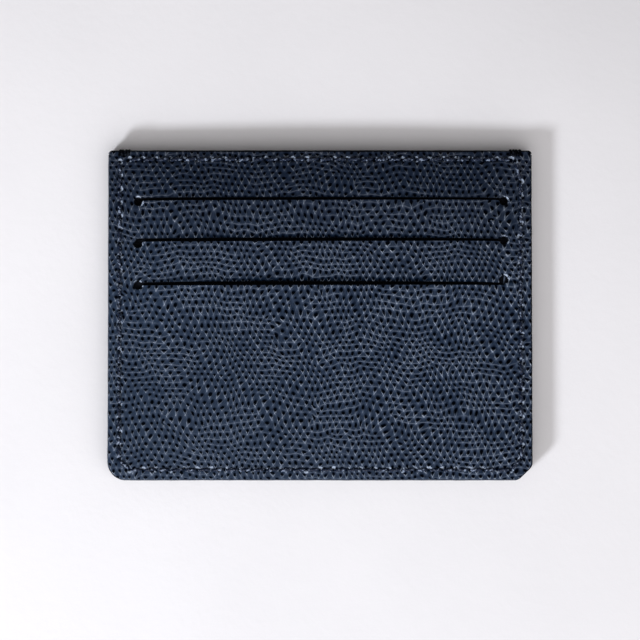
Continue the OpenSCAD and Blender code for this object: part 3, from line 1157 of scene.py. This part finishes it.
def front_sheet(name, node, depth, material, slot):
    """A layer of the front half."""
    xs, ys = (spaced((-half - 1, half + 1), SHEET_STEP) for half in (HALF_W, HALF_H))
    low, high = bowed(low_mm(node)[2]), bowed(high_mm(node)[2])
    verts, faces = sheet(*contour_mesh(xs, ys, depth), low, high)
    as_piece(new_object(name, verts, faces, material, flat=True), slot, node)


front_sheet("front_inner_leather", "front_inner_panel", panel_depth, INNER, "inner_leather")


def border_depth(x, y):
    """How far inside the border strips, outside the linings' window, a point lies."""
    inner_x = high_mm("front_lower_pocket_lining")[0]
    y0 = low_mm("front_lower_pocket_lining")[1]
    y1 = high_mm("front_upper_pocket_lining")[1]
    window = np.minimum(inner_x - abs(x), np.minimum(y - y0, y1 - y))
    return np.minimum(panel_depth(x, y), -window)


front_sheet("front_border_board", "front_border_strips", border_depth, BOARD, "border_board")


def box_mesh(low, high):
    """A closed box whose faces across its thickness are grids, so that it can bow."""
    gx, gy = np.meshgrid(*(spaced((low[axis], high[axis]), LINING_STEP) for axis in (0, 1)))
    grid = np.arange(gx.size).reshape(gx.shape)
    rim = [*grid[0], *grid[1:, -1], *grid[-1, -2::-1], *grid[-2:0:-1, 0]]
    points = np.column_stack([gx.ravel(), gy.ravel()])
    loops = [[int(i) for i in rim]]
    return sheet(points, grid_faces(*gx.shape), loops, bowed(low[2]), bowed(high[2]))


def front_lining(level):
    """A pocket lining: a sheet with a thicker hem at its top."""
    node = f"front_{level}_pocket_lining"
    low, high = low_mm(node), high_mm(node)
    sheet_top = low[2] + LINING_T
    boxes = [
        box_mesh(low, (high[0], high[1], sheet_top)),
        box_mesh((low[0], high[1] - HEM, sheet_top), high),
    ]
    lining = new_object(f"front_{level}_lining", *joined(boxes), LINING, flat=True)
    as_piece(lining, "pocket_lining", node)


for level in LEVELS:
    front_lining(level)

CAD_LOOKS = {
    "back_border_strips": BOARD, "centre_seam_strips": BOARD, "back_inner_panel": INNER,
    **{f"back_{level}_pocket_lining": LINING for level in LEVELS},
}
for node, material in CAD_LOOKS.items():
    mesh = frame["nodes"][node].data
    for i in range(len(mesh.materials)):
        mesh.materials[i] = material

# ------------ stage


FLOOR = 1500  # half the floor's width
SOFT_AZIMUTH, SOFT_ELEVATION = 285, 38  # where the room's soft light is brightest


def add_floor():
    verts = [(-FLOOR, -FLOOR, 0), (FLOOR, -FLOOR, 0), (FLOOR, FLOOR, 0), (-FLOOR, FLOOR, 0)]
    floor = new_object("floor", verts, [[0, 1, 2, 3]], pale_floor())


def aim(obj, target):
    obj.rotation_euler = (Vector(target) - obj.location).to_track_quat("-Z", "Y").to_euler()


def direction(azimuth, elevation):
    """A unit vector. Azimuth 0 is along +X, and 90 along +Y."""
    az, el = math.radians(azimuth), math.radians(elevation)
    return math.cos(el) * math.cos(az), math.cos(el) * math.sin(az), math.sin(el)


def add_key(azimuth, elevation, distance, size, watts, colour):
    """A small round light, which draws the edges of the shadows."""
    data = bpy.data.lights.new("key", "AREA")
    data.shape = "DISK"
    data.size = size
    data.energy = watts
    data.color = colour
    light = bpy.data.objects.new("key", data)
    light.location = Vector(direction(azimuth, elevation)) * distance
    aim(light, (0, 0, 0))
    bpy.context.scene.collection.objects.link(light)


def add_camera():
    """A long lens that looks almost straight down."""
    data = bpy.data.cameras.new("camera")
    distance = 0.652
    view_width = 0.151086
    elevation = math.radians(87.5)
    data.sensor_width = 36
    data.lens = data.sensor_width * distance / view_width
    camera = bpy.data.objects.new("camera", data)
    target = Vector((0, -0.0011, THICK * MM / 2))
    camera.location = target + Vector((0, -math.cos(elevation), math.sin(elevation))) * distance
    aim(camera, target)
    bpy.context.scene.collection.objects.link(camera)
    bpy.context.scene.camera = camera


def add_world():
    """A dim room with a broad soft light on the near side and a pale horizon."""
    world = bpy.data.worlds.new("studio")
    world.use_nodes = True
    n = Nodes(world.node_tree)
    place = n.add("TexCoord").outputs["Generated"]
    towards = n.vector("DOT_PRODUCT", place, direction(SOFT_AZIMUTH, SOFT_ELEVATION))
    soft = n.step(towards, 0.38, 0.96, 0.17, 1.57)
    background = n.tree.nodes["Background"]
    background.inputs["Color"].default_value = (1.0, 0.966, 0.95, 1)
    n.put(background.inputs["Strength"], n.step(n.split(place)[2], 0.08, 0.14, 0.9, soft))
    bpy.context.scene.world = world


add_floor()
add_key(azimuth=226, elevation=29.5, distance=0.87, size=0.17, watts=6.05,
        colour=(0.952, 0.966, 1.0))
add_world()
add_camera()
bpy.context.scene.view_settings.view_transform = "Standard"
